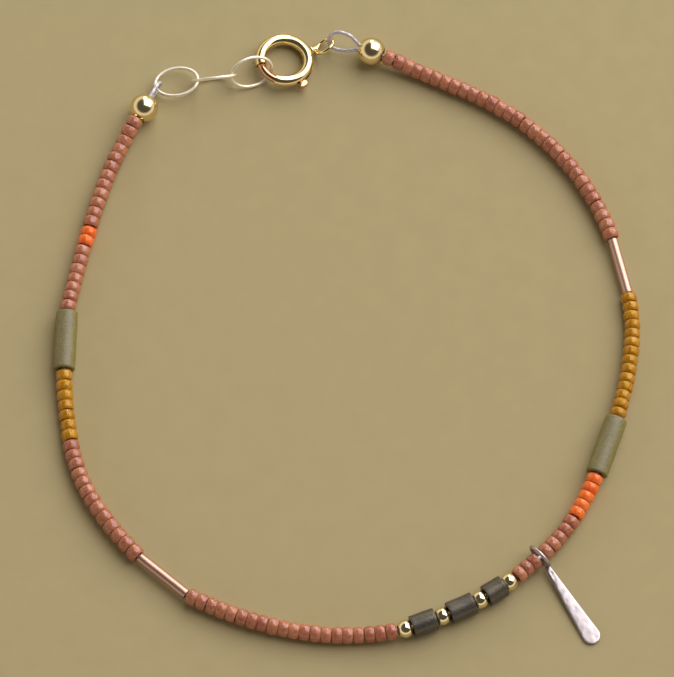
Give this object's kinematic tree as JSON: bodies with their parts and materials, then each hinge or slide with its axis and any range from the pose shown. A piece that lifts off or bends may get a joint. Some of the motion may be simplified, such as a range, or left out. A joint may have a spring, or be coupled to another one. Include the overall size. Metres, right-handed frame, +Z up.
{
  "type": "seed bead bracelet",
  "caption": "Fine seed bead bracelet in terracotta pink, orange and mustard, with bugle beads, a flat metal drop and a spring ring clasp, lying closed.",
  "frame": {"origin": "middle of the bracelet's underside, on the surface it lies on", "axes": "+Z up; +Y towards the clasp; +X towards the right-hand side, where the drop hangs off"},
  "size_m": [0.0578, 0.0648, 0.0031],
  "materials": {
    "pink": "glossy",
    "orange": "glossy",
    "mustard": "glossy",
    "bugle": "matte",
    "dark": "matte",
    "slim": "polished",
    "ball": "polished",
    "drop": "satin",
    "gold": "polished",
    "bolt": "polished",
    "crimp": "satin",
    "wire": "satin"
  },
  "bodies": {
    "root": {"stringing_wire": "wire", "pink_beads_1": "pink", "pink_beads_2": "pink", "pink_beads_3": "pink", "pink_beads_4": "pink", "pink_beads_5": "pink", "pink_beads_6": "pink", "pink_beads_7": "pink", "orange_beads_1": "orange", "orange_beads_2": "orange", "mustard_beads_1": "mustard", "mustard_beads_2": "mustard", "olive_bugle_left": "bugle", "olive_bugle_right": "bugle", "slim_tube_left": "slim", "slim_tube_right": "slim", "gold_bead_1": "ball", "gold_bead_2": "ball", "gold_bead_3": "ball", "gold_bead_4": "ball", "dark_tube_1": "dark", "dark_tube_2": "dark", "dark_tube_3": "dark", "crimp_left": "crimp", "crimp_right": "crimp", "crimp_cover_left": "gold", "crimp_cover_right": "gold", "chain_link_1": "gold", "chain_link_2": "gold", "chain_link_3": "gold", "paddle_drop": "drop", "spring_ring": "gold"},
    "bolt": {"spring_ring_bolt": "bolt"}
  },
  "joints": [
    {"name": "bolt_slide", "type": "hinge", "parent": "root", "child": "bolt", "pos_m": [-0.00632, 0.02942, 0.0009], "axis": [0.0869, 0.0785, 0.9931], "range_deg": [0, 54], "stiffness_Nm_per_rad": 0.0005, "springref_deg": -57.3}
  ]
}
